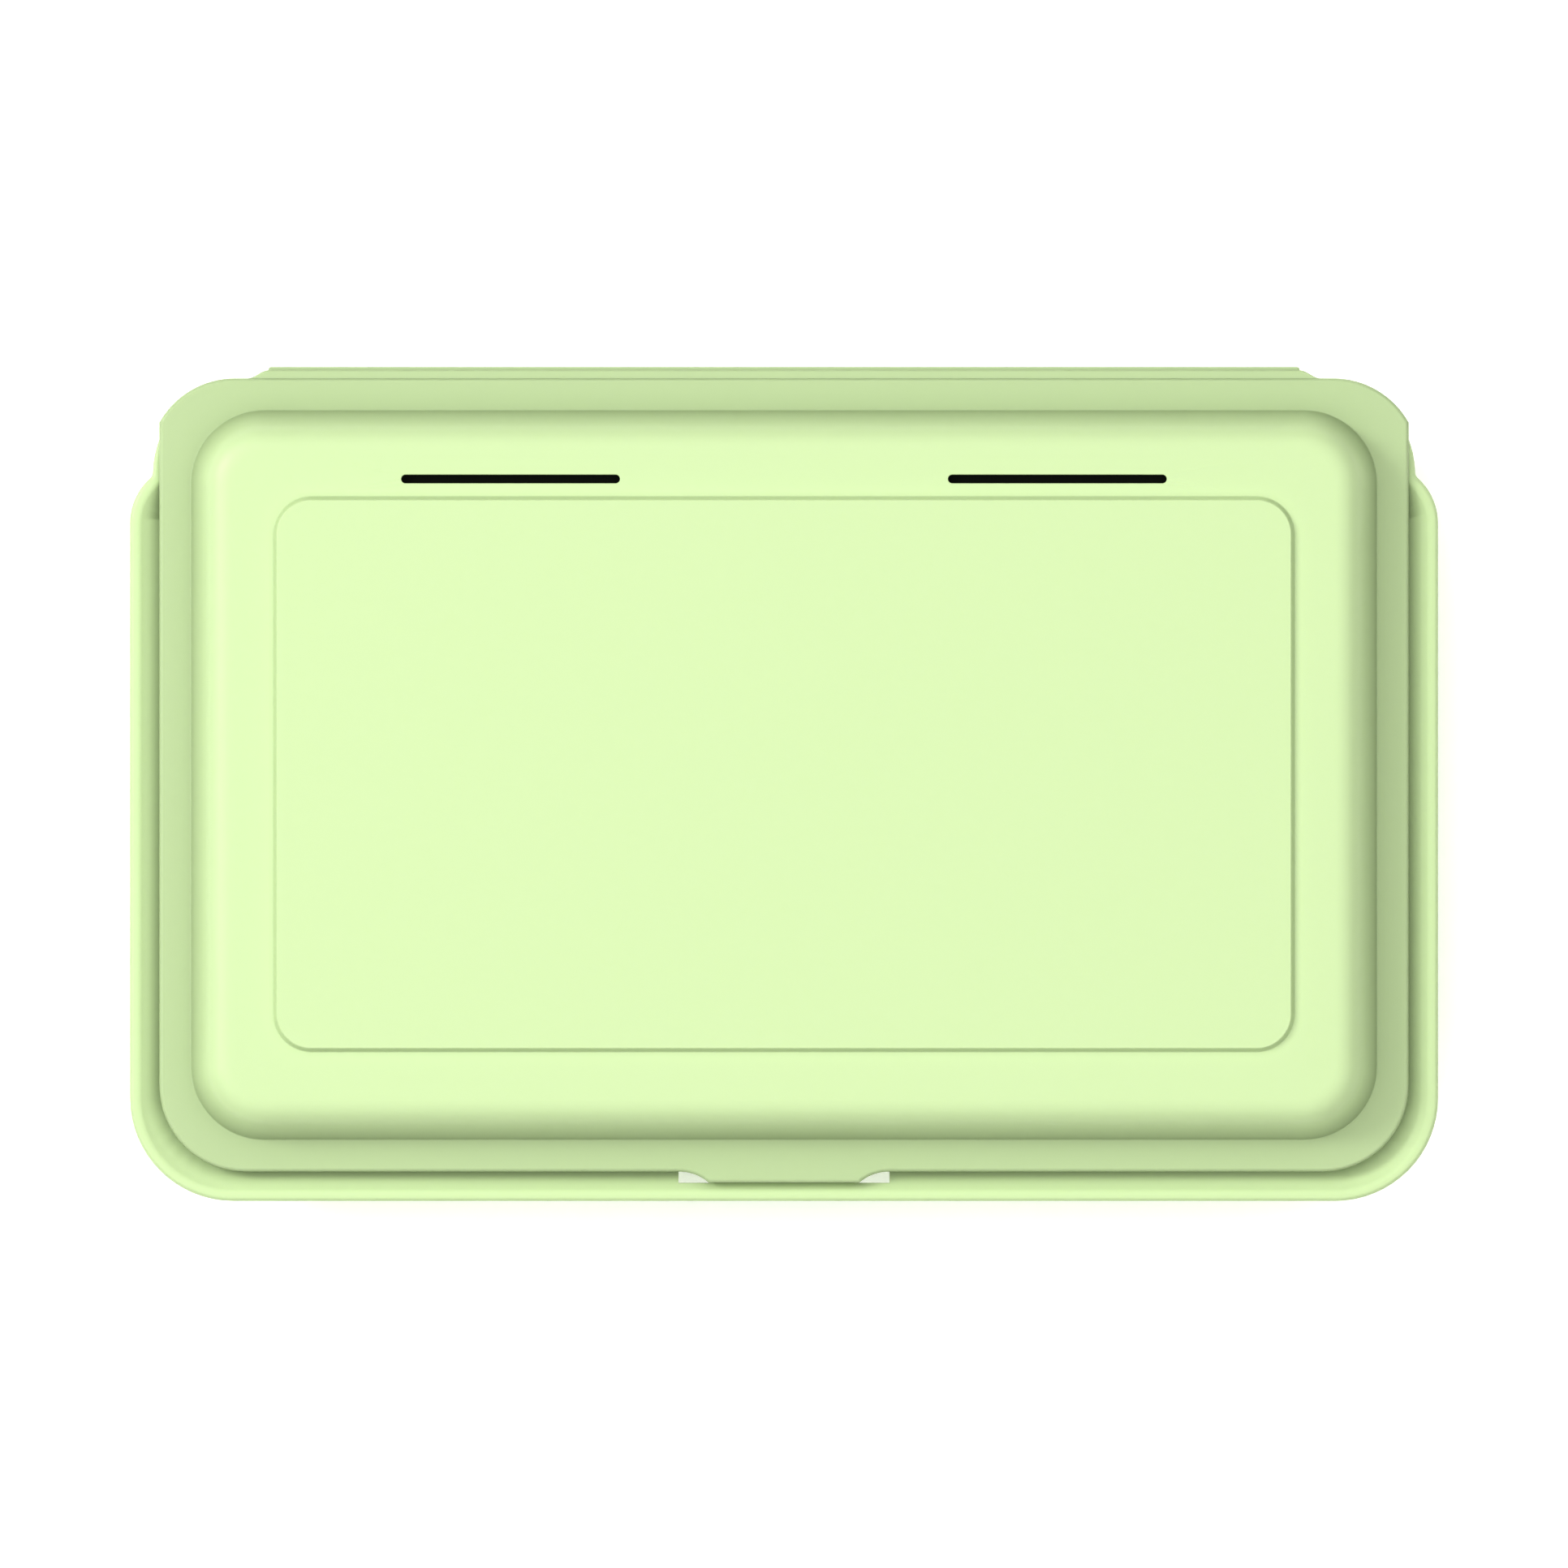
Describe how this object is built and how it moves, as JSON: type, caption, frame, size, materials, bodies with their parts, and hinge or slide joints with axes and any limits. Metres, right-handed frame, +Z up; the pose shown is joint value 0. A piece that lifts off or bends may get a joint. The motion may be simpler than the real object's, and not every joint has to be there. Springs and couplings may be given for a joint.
{
  "type": "toy tablet",
  "caption": "Toy tablet in a hinged pale green clamshell case: domed snap-shut lid over a screen, press buttons, slider and speakers",
  "frame": {"origin": "centre of the footprint, on the surface the rubber feet stand on, lid closed", "axes": "+X along the width, to the right; +Y towards the hinge at the back; +Z up"},
  "size_m": [0.24, 0.153, 0.0359],
  "materials": {
    "case": "satin moulded polypropylene",
    "deck": "fine-textured ABS",
    "grille": "matt ABS",
    "window": "clear moulded acrylic",
    "display": "dark display glass",
    "frame_metal": "zinc-plated steel",
    "ribbon": "polyimide film",
    "board": "solder mask on glass-epoxy",
    "chips": "moulded epoxy",
    "silicone": "translucent silicone",
    "speaker": "moulded ABS",
    "cone": "treated paper",
    "foam": "foam rubber",
    "leads": "PVC-insulated wire",
    "bay": "moulded ABS",
    "cells": "printed film over steel",
    "contacts": "nickel-plated spring steel",
    "screws": "zinc-plated steel",
    "switch": "nylon and steel",
    "light": "diffusing acrylic",
    "cloth": "black acoustic cloth",
    "retainer": "moulded polypropylene",
    "feet": "matt rubber",
    "slider": "gloss ABS",
    "yellow": "gloss ABS",
    "blue": "gloss ABS",
    "violet": "gloss ABS",
    "mint": "gloss ABS",
    "pink": "gloss ABS",
    "leaf": "gloss ABS"
  },
  "bodies": {
    "base": {"base_tray": "case", "foot_pads": "feet", "fold_web": "case", "control_deck": "deck", "speaker_grilles": "grille", "screen_window": "window", "display_panel": "display", "display_frame": "frame_metal", "ribbon_cables": "ribbon", "main_board": "board", "board_chips": "chips", "key_board": "board", "keypad_left": "silicone", "keypad_right": "silicone", "keypad_front": "silicone", "speaker_left": "speaker", "speaker_right": "speaker", "speaker_cones": "cone", "speaker_gaskets": "foam", "speaker_leads": "leads", "battery_box": "bay", "battery_cells": "cells", "battery_springs": "contacts", "battery_contacts": "contacts", "battery_leads": "leads", "power_switch": "switch", "power_light": "light", "deck_screws": "screws", "board_screws": "screws"},
    "lid": {"lid_shell": "case", "slot_cloths": "cloth", "slot_retainers": "retainer"},
    "latch": {"latch_tongue": "case"},
    "battery_door": {"battery_door": "case", "battery_door_screw": "screws"},
    "power_slider": {"power_slider": "slider"},
    "button_left_rear": {"button_left_rear": "slider"},
    "button_left_middle": {"button_left_middle": "yellow"},
    "button_left_front": {"button_left_front": "blue"},
    "button_right_rear": {"button_right_rear": "violet"},
    "button_right_middle": {"button_right_middle": "mint"},
    "button_right_front": {"button_right_front": "pink"},
    "home_button": {"home_button": "leaf"},
    "volume_down_button": {"volume_down_button": "yellow"},
    "volume_up_button": {"volume_up_button": "yellow"}
  },
  "joints": [
    {"name": "lid_fold", "type": "hinge", "parent": "base", "child": "lid", "pos_m": [0, 0.0759, 0.024], "axis": [-1, 0, 0], "range_deg": [0, 180]},
    {"name": "latch_flex", "type": "hinge", "parent": "lid", "child": "latch", "pos_m": [0, -0.0723, 0.023], "axis": [1, 0, 0], "range_deg": [0, 14], "stiffness_Nm_per_rad": 0.06},
    {"name": "battery_door_tip", "type": "hinge", "parent": "base", "child": "battery_door", "pos_m": [-0.03325, 0, 0.00165], "axis": [0, 1, 0], "range_deg": [0, 70]},
    {"name": "power_slide", "type": "slide", "parent": "base", "child": "power_slider", "axis": [1, 0, 0], "range_m": [0, 0.006]},
    {"name": "button_left_rear_press", "type": "slide", "parent": "base", "child": "button_left_rear", "axis": [0, 0, -1], "range_m": [0, 0.0015], "stiffness_N_per_m": 500, "deforming": ["keypad_left"]},
    {"name": "button_left_middle_press", "type": "slide", "parent": "base", "child": "button_left_middle", "axis": [0, 0, -1], "range_m": [0, 0.0015], "stiffness_N_per_m": 500, "deforming": ["keypad_left"]},
    {"name": "button_left_front_press", "type": "slide", "parent": "base", "child": "button_left_front", "axis": [0, 0, -1], "range_m": [0, 0.0015], "stiffness_N_per_m": 500, "deforming": ["keypad_left"]},
    {"name": "button_right_rear_press", "type": "slide", "parent": "base", "child": "button_right_rear", "axis": [0, 0, -1], "range_m": [0, 0.0015], "stiffness_N_per_m": 500, "deforming": ["keypad_right"]},
    {"name": "button_right_middle_press", "type": "slide", "parent": "base", "child": "button_right_middle", "axis": [0, 0, -1], "range_m": [0, 0.0015], "stiffness_N_per_m": 500, "deforming": ["keypad_right"]},
    {"name": "button_right_front_press", "type": "slide", "parent": "base", "child": "button_right_front", "axis": [0, 0, -1], "range_m": [0, 0.0015], "stiffness_N_per_m": 500, "deforming": ["keypad_right"]},
    {"name": "home_button_press", "type": "slide", "parent": "base", "child": "home_button", "axis": [0, 0, -1], "range_m": [0, 0.0015], "stiffness_N_per_m": 500, "deforming": ["keypad_front"]},
    {"name": "volume_down_button_press", "type": "slide", "parent": "base", "child": "volume_down_button", "axis": [0, 0, -1], "range_m": [0, 0.0015], "stiffness_N_per_m": 500, "deforming": ["keypad_front"]},
    {"name": "volume_up_button_press", "type": "slide", "parent": "base", "child": "volume_up_button", "axis": [0, 0, -1], "range_m": [0, 0.0015], "stiffness_N_per_m": 500, "deforming": ["keypad_front"]}
  ]
}
